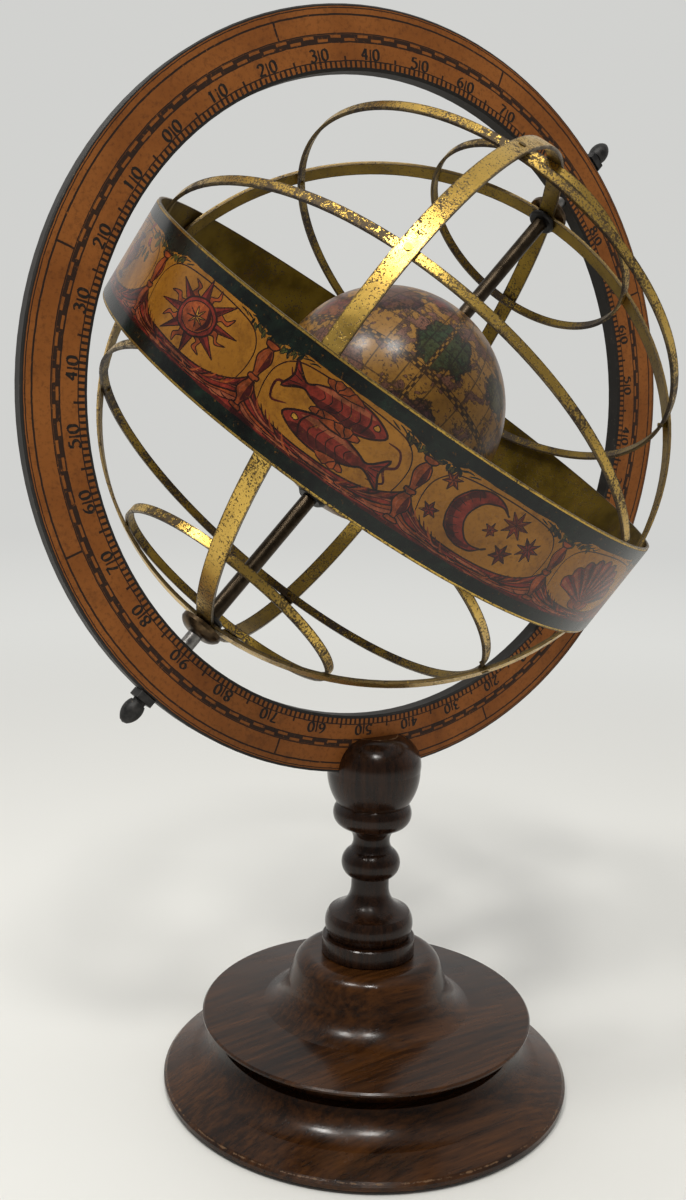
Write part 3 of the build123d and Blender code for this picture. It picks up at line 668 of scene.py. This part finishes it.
def drapery(d):
    crest = [(-27.2, -0.6), (-25.4, -3.0), (-22, -5.9), (-17, -8.0), (-9, -9.0), (0, -9.3), (9, -8.9),
             (16, -7.6), (21.5, -5.2), (25.4, -2.4), (27.2, -0.2)]
    inks = ("crimson", "rose", "crimson", "rust", "rose", "crimson", "deep")
    foot = -FIELD - 0.3
    for step, ink in enumerate(inks):
        share = (step / len(inks)) ** 0.9
        ripple = 0.35 * math.sin(step * 2.3)
        level = smooth_curve(d.shaken([(x, y + (foot - y) * share + ripple * math.sin(0.45 * x + step))
                                       for x, y in crest]))
        d.polygon(np.vstack([level, [(27.2, foot), (-27.2, foot)]]), ink)
        d.ribbon(level, "line" if step in (0, 3, 5) else "deep", 0.5 if step in (0, 3) else 0.3)
    for side in (-1, 1):
        for step in range(9):
            x = side * (26.4 - 1.9 * step)
            y = -3.6 - 0.62 * step
            d.line([(x, y), (x - side * 2.0, y - 2.2), (x - side * 5.6, y - 3.6)],
                   ("line", "deep", "rust")[step % 3], 0.55)
    for step in range(14):
        x = -20 + 3.1 * step + hand.normal(0, 0.8)
        y = -10.6 + hand.normal(0, 0.5)
        d.line([(x, y), (x + 1.6, y - 0.5), (x + 3.6, y - 0.4)], "line" if step % 2 else "rose", 0.4)


def garland(d):
    for side in (-1, 1):
        d.area([(side * 17.5, 12.9), (side * 20.5, 11.6), (side * 23.5, 11.4), (side * 25.4, 10.4),
                (side * 27.2, 10.2), (side * 27.2, 13.0)], "border", None)
        for step in range(16):
            x = side * (17.2 + 10.0 * hand.random())
            y = 11.9 - 0.20 * (abs(x) - 17) + hand.normal(0, 0.35)
            turn = hand.normal(-1.2, 0.6)
            leaf = np.array([(0, 0), (0.9, 0.42), (2.0, 0), (0.9, -0.42)]) * (0.8 + 0.5 * hand.random())
            d.area(turned(leaf, turn, x, y, side), "leaf" if step % 3 else "border", "border", 0.2, 3)
        for step in range(5):
            x = side * (12.0 + 2.2 * step)
            sag = 11.8 + hand.normal(0, 0.2)
            d.line([(x, 12.2), (x + side * 1.8, sag), (x + side * 3.4, 11.2)], "border", 0.45)
    d.line([(-22.3, -5.8), (-23.5, 0), (-22.9, 5.2), (-19.4, 9.2), (-13, 10.9), (0, 11.6), (13, 10.9),
            (19.4, 9.2), (22.9, 5.2), (23.5, 0), (22.3, -5.8)], "line", 0.42, 0.7)


def star(d, x, y, radius, points, ink, shade):
    turn = np.arange(2 * points) * math.pi / points + math.pi / 2
    reach = np.where(np.arange(2 * points) % 2, radius * 0.42, radius)
    ring = oval(x, y, reach, reach, turn)
    d.facets(ring, ink)
    for i in range(0, 2 * points, 2):
        d.polygon([(x, y), ring[i], ring[i - 1]], shade)
        d.ribbon(np.array([(x, y), tuple(ring[i])]), "line", 0.14)


def sunburst(d):
    flame = [(4.2, 0.9), (5.8, 1.5), (7.2, 0.2), (9.3, 0.7), (7.4, -0.9), (5.9, 0.1), (4.2, -0.9)]
    for i in range(16):
        turn = i * math.pi / 8
        if i % 2:
            d.area(turned(flame, turn, widen=1.12), "rust", width=0.3)
        else:
            d.facets(turned([(4.2, 1.25), (10.4, 0.0), (4.2, -1.25)], turn, widen=1.12), "crimson")
            d.polygon(turned([(4.2, 0.0), (9.8, 0.0), (4.2, -1.1)], turn, widen=1.12), "deep")
    d.area(circle(0, 0, 5.0, 18, 1.1), "crimson", width=0.5, steps=2)
    d.area(circle(0, 0, 3.9, 18, 1.1), "rust", width=0.3, steps=2)
    d.area([(1.2, -3.4), (3.6, -1.4), (3.8, 1.4), (2.2, 3.2), (2.8, 0.6), (2.4, -1.4)], "deep", None)
    for i in range(8):
        turn = i * math.pi / 4 + 0.2
        reach = np.array([0.5, 2.9, 0.5])
        petal = oval(0, 0, reach, np.array([0.5, 2.7, 0.5]), turn + np.array([-0.5, 0.0, 0.5]))
        d.area(petal, "ochre", "line", 0.24, 3)


def fish(d):
    d.area([(9.4, 0.2), (7.2, 2.2), (3.4, 3.5), (-1, 3.2), (-5, 1.7), (-7.4, 0.8), (-10.6, 3.8), (-9.9, 0.5),
            (-11.0, -2.9), (-7.4, -0.7), (-5, -1.6), (-1, -2.9), (3.4, -2.9), (7.2, -1.8)],
           "crimson", width=0.45)
    d.area([(7.6, -1.3), (3.4, -2.5), (-1, -2.5), (-5.4, -1.2), (-2, -0.9), (2.5, -0.7), (6.0, -0.2)],
           "deep", None)
    d.area([(6.4, 1.9), (2.8, 2.9), (-2.2, 2.3), (-5.6, 1.1), (-2, 1.3), (2.4, 1.5)], "rose", None)
    for x, y in ((-3.4, 4.4), (-2.0, 4.9), (-0.4, 4.8), (1.0, 4.4)):
        d.area([(3.4, 2.9), (x, y), (x - 0.7, y - 1.1), (-1.6, 2.5)], "rust", "line", 0.26, 2)
    for x, y in ((-3.8, -3.9), (-2.5, -4.3), (-1.0, -4.1)):
        d.area([(1.4, -2.5), (x, y), (x - 0.6, y + 1.0), (-2.4, -2.1)], "rust", "line", 0.26, 2)
    for x in (3.0, 1.2, -0.6, -2.4, -4.0):
        reach = 2.2 - abs(x - 1) * 0.18
        d.line([(x, reach), (x + 0.9, 0), (x, -reach)], "line", 0.24)
    for y in (2.2, 0.9, -0.9, -2.0):
        d.line([(-7.8, y * 0.3), (-10.2, y)], "line", 0.24)
    d.line([(4.9, 2.6), (5.9, 0.6), (5.0, -2.2)], "line", 0.4)
    d.area(circle(7.1, 0.7, 0.62, 10), "ochre", width=0.24, steps=2)


def fishes(d, x):
    d.place(x, 1.2)
    d.line([(14.5, 5.2), (18.6, 4.6), (20.4, 1.0), (17.6, -1.6), (19.4, -5.0), (14.8, -6.4)], "deep", 0.8)
    d.line([(-14.6, -2.4), (-19.4, -3.6), (-20.6, 1.0), (-16.4, 2.6), (-19.0, 6.4)], "deep", 0.8)
    d.place(x - 1.5, 6.3, 1.28, 0.05, False, 1.25)
    fish(d)
    d.place(x + 1.0, -3.2, 1.34, 0.04, True, 1.22)
    fish(d)


def urn(d):
    vine = np.array([(0.6, 5.4), (4.0, 8.6), (8.6, 8.4), (11.4, 5.2), (15.4, 4.6), (17.0, 7.0), (15.2, 8.0)])
    for side in (-1, 1):
        d.line([(side * 4.4, 2.2), (side * 7.4, 3.4), (side * 7.2, -0.4), (side * 4.9, -1.8)], "line", 0.9)
        d.line(vine * (side, 1), "line", 0.42)
        for x, y, turn in ((4.2, 9.0, 0.9), (8.0, 7.0, -0.6), (10.4, 8.2, 0.6), (12.2, 3.6, -1.1),
                           (14.6, 6.2, 1.2), (9.2, 4.2, -1.3)):
            leaf = turned([(0, 0), (1.6, 0.9), (3.6, 0), (1.6, -0.9)], turn, side * x, y, side)
            d.area(leaf, "leaf" if x > 9 else "crimson", width=0.26)
    body = [(-9.2, 3.1), (-8.6, 2.9), (-8.0, 0.9), (-6.8, 0.9), (-5.0, 3.4), (-1.6, 5.3), (1.6, 4.5),
            (3.4, 1.9), (4.4, 1.9), (5.2, 3.2), (5.8, 3.2)]
    d.area(mirrored(body), "crimson", width=0.5)
    d.area([(1.4, -5.4), (4.6, -1.6), (3.8, 1.4), (1.2, 3.0), (2.4, 0.4), (2.4, -2.4)], "deep", None)
    d.area([(-2.0, -4.4), (-4.3, -1.4), (-3.4, 1.4), (-2.8, -0.4), (-2.6, -2.4)], "rose", None)
    for height, reach in ((1.7, 4.4), (0.6, 4.9), (-3.4, 4.5), (3.6, 1.9), (5.2, 3.0), (-8.2, 1.6)):
        d.line([(-reach, height + 0.2), (0, height - 0.4), (reach, height + 0.2)], "line", 0.36, 0.7, 3)
    for x in (-3.0, -1.0, 1.0, 3.0):
        d.line([(x, 0.0), (x + 0.9, -1.4), (x, -2.8)], "ochre", 0.4)


def crescent(d):
    moon = [arc(-5, 0.2, 8.6, 8.6, 40, 320, 26), arc(-1.6, 0.2, 6.4, 6.6, 306, 54, 24)]
    d.area(np.vstack(moon), "crimson", width=0.5, steps=2)
    shadow = [arc(-5, 0.2, 8.2, 8.2, 110, 285, 18), arc(-4.2, 0.2, 7.0, 7.0, 285, 110, 18)]
    d.area(np.vstack(shadow), "deep", None, steps=2)
    for ends in zip(arc(-5, 0.2, 7.8, 7.8, 120, 240, 7), arc(-4.4, 0.2, 5.6, 5.8, 120, 240, 7)):
        d.line(ends, "line", 0.26)
    for x, y, radius, points, ink, shade in (
            (5.4, 4.6, 4.4, 8, "rust", "crimson"), (6.6, -4.6, 3.4, 6, "crimson", "deep"),
            (13.2, 0.4, 3.9, 8, "crimson", "deep"), (-16.6, 6.0, 2.8, 6, "rust", "deep"),
            (-17.2, -4.0, 2.6, 6, "crimson", "deep"), (-0.2, 0.0, 2.2, 6, "rust", "crimson")):
        star(d, x, y, radius, points, ink, shade)


def shell(d):
    def spot(reach, turn, rise=1.0):
        return reach * math.sin(turn), -8.2 + reach * rise * math.cos(turn)

    ribs = np.radians(np.linspace(-76, 76, 10))
    rim = []
    for a, b in zip(ribs, ribs[1:]):
        for share, reach in ((0.0, 15.2), (0.25, 16.3), (0.5, 16.8), (0.75, 16.3)):
            rim.append(spot(reach, a + (b - a) * share, 1.02))
    rim.append(spot(15.2, ribs[-1]))
    d.area([(4.2, -10.4), (-4.2, -10.4), (-5.2, -7.4), (5.2, -7.4)], "rust", width=0.45)
    d.polygon(rim + [(1.6, -8.8), (-1.6, -8.8)], "crimson")
    for a, b in zip(ribs, ribs[1:]):
        middle = (a + b) / 2
        d.polygon([spot(1.4, middle), spot(15.4, a + 0.05), spot(15.9, middle)], "rose")
        d.polygon([spot(1.4, middle), spot(15.9, middle + 0.07), spot(15.2, b - 0.02)], "deep")
    for turn in ribs:
        d.line([spot(1.5, turn), spot(15.4, turn)], "line", 0.42)
    d.ribbon(np.array(rim), "line", 0.5)
    for reach in (6.0, 10.4):
        d.line([spot(reach, turn) for turn in np.linspace(-1.1, 1.1, 14)], "line", 0.22, 0.6, 2)
    d.area(circle(0, -8.6, 1.5, 12, 1.3), "rust", width=0.4, steps=2)


def wreath(d):
    for i in range(26):
        turn = i * 2 * math.pi / 26
        lean = turn + math.pi / 2 + (0.5 if i % 2 else -0.5)
        leaf = turned([(-1.7, 0), (0, 0.95), (2.1, 0), (0, -0.95)], lean,
                      9.4 * math.cos(turn), 0.6 + 7.6 * math.sin(turn))
        d.area(leaf, ("leaf", "crimson", "leaf", "rust")[i % 4], width=0.28)
    for side in (-1, 1):
        d.area([(0, -7.6), (side * 3.0, -5.8), (side * 5.2, -7.8), (side * 3.0, -9.4)], "rust", width=0.36)
        d.line([(0, -7.8), (side * 4.0, -10.2), (side * 8.6, -9.0), (side * 12.4, -9.8)], "crimson", 1.1)
        star(d, side * 16.2, 2.0, 3.2, 6, "crimson", "deep")
    star(d, 0, 0.7, 5.0, 8, "crimson", "deep")


EMBLEM_SCALES = {"urn": (0.98, 0.0, False, 1.15), "sunburst": (1.10, 0.12, False, 1.32),
                 "crescent": (1.04, 0.0, False, 1.08), "shell": (0.98, 0.0, False, 1.2),
                 "wreath": (1.0, 0.0, False, 1.15)}


def band_art():
    width = 12 * PANEL
    d = Drawing(wobble=0.09)
    emblems = (urn, sunburst, fishes, crescent, shell, wreath)
    first = FIRST_DIVIDER / (2 * math.pi) * width
    for k in range(-1, 13):
        middle = first + (k + 0.5) * PANEL
        emblem = emblems[k % 6]
        d.place(middle)
        garland(d)
        drapery(d)
        if emblem is fishes:
            emblem(d, middle)
        else:
            d.place(middle, 1.6, *EMBLEM_SCALES[emblem.__name__])
            emblem(d)
    for k in range(-1, 14):
        d.place(first + k * PANEL)
        baluster(d)
    d.place()
    along = np.linspace(-5, width + 5, 241)
    for side in (-1, 1):
        inner = side * (FIELD + hand.normal(0, 0.09, len(along)))
        outside = [(width + 5, side * 18.0), (-5, side * 18.0)]
        d.polygon(np.vstack([np.stack([along, inner], 1), outside]), "border")
    return d, width


def band_sheet(material):
    d, width = band_art()
    half = PRINT_HALF_WIDTH
    loose = [(x, y) for x in np.linspace(0, width, 265) for y in np.linspace(-half, half, 15)]
    d.shapes = [(shape, ink) for shape, ink in d.shapes
                if shape[:, 0].max() > 0 and shape[:, 0].min() < width]
    field = np.array([(0, -half), (width, -half), (width, half), (0, half)])
    flat, triangles, inks = triangulate(d, field, loose)
    first = np.nonzero(np.abs(flat[:, 0]) < SEAM_REACH)[0]
    match = np.arange(len(flat))
    for i in np.nonzero(np.abs(flat[:, 0] - width) < SEAM_REACH)[0]:
        match[i] = first[np.abs(flat[first, 1] - flat[i, 1]).argmin()]
    triangles = match[triangles]
    whole = (triangles != np.roll(triangles, 1, axis=1)).all(1)
    triangles, inks = triangles[whole], inks[whole]
    start = np.array(BAND_HINGE)
    side = np.array(BAND_NORMAL.cross(BAND_HINGE))

    def locate(points, outer):
        turn = points[:, 0] / width * 2 * math.pi
        out = np.cos(turn)[:, None] * start + np.sin(turn)[:, None] * side
        reach = BAND_RADIUS + (PRINT_THICKNESS if outer else 0.0)
        height = points[:, 1] * MM + BAND_OFFSET
        return np.array(CENTRE) + out * reach + height[:, None] * np.array(BAND_NORMAL), out

    sheet = closed_sheet("zodiac_band_print", flat, triangles, inks, locate, BAND_INKS, material,
                         "cage")
    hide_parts("zodiac_print")


BAND_INKS = {
    "line": (0.020, 0.005, 0.003, 1.0),
    "border": (0.005, 0.009, 0.006, 1.0),
    "deep": (0.055, 0.007, 0.005, 1.0),
    "crimson": (0.165, 0.016, 0.010, 0.97),
    "rust": (0.230, 0.040, 0.010, 0.90),
    "rose": (0.250, 0.060, 0.030, 0.85),
    "leaf": (0.030, 0.040, 0.009, 0.90),
    "ochre": (0.340, 0.160, 0.022, 0.70),
}


# Numbers of the dial

# Strokes of each digit, in hundredths of its height
DIGITS = {
    "0": [[(31, 100), (10, 82), (5, 50), (10, 16), (31, 0), (52, 16), (57, 50),
           (52, 82), (31, 100)]],
    "1": [[(14, 80), (24, 86), (33, 100)], [(33, 100), (33, 50), (33, 0)]],
    "2": [[(6, 76), (14, 95), (34, 100), (53, 84), (48, 58), (26, 28), (5, 3)],
          [(5, 3), (30, 5), (60, 3)]],
    "3": [[(7, 90), (28, 101), (51, 86), (45, 63), (24, 54)],
          [(24, 54), (50, 48), (58, 24), (40, 1), (16, 0), (4, 13)]],
    "4": [[(44, 100), (24, 66), (3, 32)], [(3, 32), (30, 33), (62, 32)],
          [(44, 100), (44, 50), (44, -2)]],
    "5": [[(54, 98), (36, 97), (16, 98)], [(16, 98), (14, 78), (12, 58)],
          [(12, 58), (34, 64), (55, 48), (56, 20), (36, 0), (14, 0), (3, 12)]],
    "6": [[(50, 100), (24, 82), (7, 48), (9, 16), (30, 0), (53, 12), (56, 36),
           (38, 54), (18, 46), (8, 30)]],
    "7": [[(3, 96), (30, 98), (60, 98)], [(60, 98), (38, 52), (25, -2)]],
    "8": [[(31, 55), (13, 67), (13, 91), (31, 100), (49, 91), (49, 67), (31, 55),
           (9, 40), (7, 12), (31, 0), (55, 12), (53, 40), (31, 55)]],
    "9": [[(12, 0), (38, 18), (55, 52), (53, 84), (32, 100), (9, 88), (6, 64),
           (24, 46), (44, 54), (54, 70)]],
}
NIB = math.radians(25)
NUMBER_FOOT = 114.75
NUMBER_HEIGHT = 3.5


def digit(d, character):
    """One hand lettered digit, one unit tall, with the thick and thin of a broad pen."""
    for points in DIGITS[character]:
        curve = smooth_curve(np.array(points) / 100 - (0.31, 0.0), steps=6)
        ahead = np.gradient(curve, axis=0)
        turn = np.arctan2(ahead[:, 1], ahead[:, 0])
        d.ribbon(curve, "line", 0.12 + 0.13 * np.abs(np.sin(turn - NIB)))


def dial_numbers(side, name):
    """Numbers of latitude on one face of the ring: side is -1 for the front and 1 for the back."""
    d = Drawing()
    pole_turn = -side * math.radians(43.5)
    for step in range(36):
        turn = pole_turn + math.radians(10 * step)
        latitude = abs(90 - 10 * step % 180)
        for character, shift in ((str(latitude // 10), -1), ("0", 1)):
            at = turn + shift * 2.3 / (NUMBER_FOOT + 2)
            d.place(NUMBER_FOOT * math.sin(at), NUMBER_FOOT * math.cos(at), NUMBER_HEIGHT, -at, False, 1.16)
            digit(d, character)
    field = np.array([(-140.0, -140.0), (140.0, -140.0), (140.0, 140.0), (-140.0, 140.0)])
    flat, triangles, inks = triangulate(d, field, [])
    drawn = inks == "line"
    normal = np.array((0.0, float(side), 0.0))

    def locate(points, outer):
        depth = RING_FACE + (0.014 * MM if outer else -0.001 * MM)
        places = [-side * points[:, 0] * MM, np.full(len(points), side * depth), points[:, 1] * MM]
        return np.stack(places, 1) + (CENTRE.x, 0.0, CENTRE.z), np.tile(normal, (len(points), 1))

    return closed_sheet(name, flat, triangles[drawn], inks[drawn], locate, {}, ring_ink,
                        "stand")


# Materials on the CAD nodes

def dress(names, material):
    for name in names:
        nodes[name].data.materials.clear()
        nodes[name].data.materials.append(material)


DISC_EDGES = [(75.6 * MM, 3.9 * MM, 1.1 * MM), (61.7 * MM, 28.3 * MM, 0.9 * MM),
              (61.7 * MM, 25.6 * MM, 0.7 * MM)]
COLUMN_EDGES = [(14.6 * MM, 105.5 * MM, 0.8 * MM), (8.4 * MM, 132.4 * MM, 1.0 * MM)]
for node, name in (("base_plinth", "plinth_wood"), ("base_bell", "bell_wood")):
    dress([node], stained_wood(name, (0.06, 1.0, 1.0), DISC_EDGES, (500.0, 900.0)))
dress(["base_collar"], stained_wood("collar_wood", (1.0, 1.0, 0.10), [], (200.0, 1400.0), TURNED_TONES))
dress(["column"], stained_wood("column_wood", (1.0, 1.0, 0.08), COLUMN_EDGES, (200.0, 1400.0), TURNED_TONES))
dress(["felt_pad"], felt("felt"))
dress(["meridian_ring"], worn_black_paint("ring_rim_paint"))
dress(["ring_scale_front", "ring_scale_back"], dial_paper("ring_print"))
ring_ink = printed_ink("ring_ink")
dial_numbers(-1, "dial_numbers_front")
dial_numbers(1, "dial_numbers_back")
band_sheet(band_paper("band_print"))
dress(["globe_ball"], globe_paper("globe_print"))
dress(["axle", "sleeve_north", "sleeve_south", "base_screw"],
      dark_metal("dull_steel", (0.16, 0.155, 0.15), (0.34, 0.33, 0.31), 0.36, (0.05, 0.042, 0.035)))
dress(["tube_north", "tube_south"],
      dark_metal("bronze_tube", (0.040, 0.030, 0.020), (0.062, 0.046, 0.030), 0.34, (0.10, 0.075, 0.045)))
dress(["hub_north", "hub_south"],
      dark_metal("bronze_hub", (0.050, 0.034, 0.020), (0.150, 0.098, 0.050), 0.36, (0.30, 0.20, 0.09)))
dress(["washer_north", "washer_south", "bush_north", "bush_south"],
      dark_metal("black_bush", (0.010, 0.010, 0.010), (0.030, 0.028, 0.026), 0.40, (0.08, 0.07, 0.06), 0.6))
dress(["nut_north", "nut_south", "finial_north", "finial_south"],
      dark_metal("black_iron", (0.012, 0.012, 0.012), (0.040, 0.038, 0.036), 0.48, (0.12, 0.10, 0.08), 0.5))

for name, normal, pitting in (("solstitial", SOLSTITIAL_NORMAL, 1.25),
                              ("equinoctial", EQUINOCTIAL_NORMAL, 1.0)):
    dress([f"colure_{name}"], brass(f"brass_{name}", normal, 0.0, 3.1 * MM, 101.0 * MM, 0.0, pitting))


def hoop_middle(name):
    """Height of a narrow hoop above the equator and its middle radius, from the node itself."""
    points = [v.co - CENTRE for v in nodes[name].data.vertices]
    heights = [p.dot(POLE) for p in points]
    radii = [(p - POLE * p.dot(POLE)).length for p in points]
    return (min(heights) + max(heights)) / 2, (min(radii) + max(radii)) / 2


for name in ("equator_ring", "tropic_north", "tropic_south", "arctic_circle", "antarctic_circle"):
    height, radius = hoop_middle(name)
    dress([name], brass(f"brass_{name}", POLE, height, 1.6 * MM, radius, 0.0, 2.05))
dress(["zodiac_band"], brass("brass_band", BAND_NORMAL, BAND_OFFSET, BAND_HALF_WIDTH, 102.2 * MM, 0.2))
dress(["cage_rivets", "band_rivets"], brass("brass_rivets", POLE, 0.0, 1.0, 99.0 * MM, 0.3))


# Floor, light and camera

PALE_FLOOR = (0.735, 0.735, 0.705)
PALE_WALL = (0.640, 0.642, 0.625)
FLOOR_REACH = 6.0
BRIGHT_SIDE = (0.50, 0.79, 0.35)


def area_light(name, place, target_height, size, power, tint=(1.0, 1.0, 1.0)):
    data = bpy.data.lights.new(name, "AREA")
    data.shape = "RECTANGLE"
    data.size = data.size_y = size
    data.energy = power
    data.color = tint
    light = bpy.data.objects.new(name, data)
    bpy.context.scene.collection.objects.link(light)
    light.location = place
    aim = Vector((0, 0, target_height)) - Vector(place)
    light.rotation_euler = aim.to_track_quat("-Z", "Y").to_euler()
    return light


floor_mesh = bpy.data.meshes.new("floor")
corners = [(x * FLOOR_REACH, y * FLOOR_REACH, 0) for x, y in ((-1, -1), (1, -1), (1, 1), (-1, 1))]
floor_mesh.from_pydata(corners, [], [(0, 1, 2, 3)])
floor = bpy.data.objects.new("floor", floor_mesh)
bpy.context.scene.collection.objects.link(floor)
f = Shader("floor_pale")
floor_mesh.materials.append(f.finish(PALE_FLOOR, 0.6))
distance = f.vector("LENGTH", f.point)
glow = f.filled("ShaderNodeEmission", {"Color": f.mix(f.smooth(distance, 0.5, 2.5), PALE_FLOOR, PALE_WALL)})
fade = f.smooth(distance, 0.22, 1.1)
f.put(f.tree.nodes["Material Output"].inputs["Surface"],
      f.seen_straight(fade, f.surface.outputs[0], glow.outputs[0]))

world = bpy.data.worlds.new("studio")
bpy.context.scene.world = world
w = Graph(world)
facing = w.along(w.add("ShaderNodeTexCoord").outputs["Generated"], BRIGHT_SIDE)
room = w.tree.nodes["Background"]
w.put(room.inputs["Color"], (1.0, 0.985, 0.96))
w.put(room.inputs["Strength"], w.blend(w.smooth(facing, -0.45, 0.55), 0.19, 0.64))
backdrop = w.filled("ShaderNodeBackground", {"Color": PALE_WALL, "Strength": 1.0})
w.put(w.tree.nodes["World Output"].inputs["Surface"],
      w.seen_straight(1.0, room.outputs[0], backdrop.outputs[0]))

for name, place in (("lamp_middle", (-0.295, -0.579, 1.20)), ("lamp_left", (-0.618, -0.201, 1.20))):
    area_light(name, place, 0.15, 0.18, 5.4, (1.0, 0.98, 0.94))
area_light("ceiling", (0.0, 0.1, 1.6), 0.1, 1.4, 8.0).visible_glossy = False

camera_data = bpy.data.cameras.new("camera")
camera = bpy.data.objects.new("camera", camera_data)
bpy.context.scene.collection.objects.link(camera)
camera_data.lens = 34.829
camera_data.clip_start = 0.01
right = Vector((0.84646664, -0.53164987, 0.02902836))
down = Vector((-0.04932396, -0.13258264, -0.98994393))
forward = Vector((0.53015222, 0.83652272, -0.13844986))
rotation = Matrix((right, -down, -forward)).transposed()
camera.matrix_world = Matrix.Translation((-0.23537, -0.34656, 0.24089)) @ rotation.to_4x4()
bpy.context.scene.camera = camera
bpy.context.scene.view_settings.view_transform = "Standard"
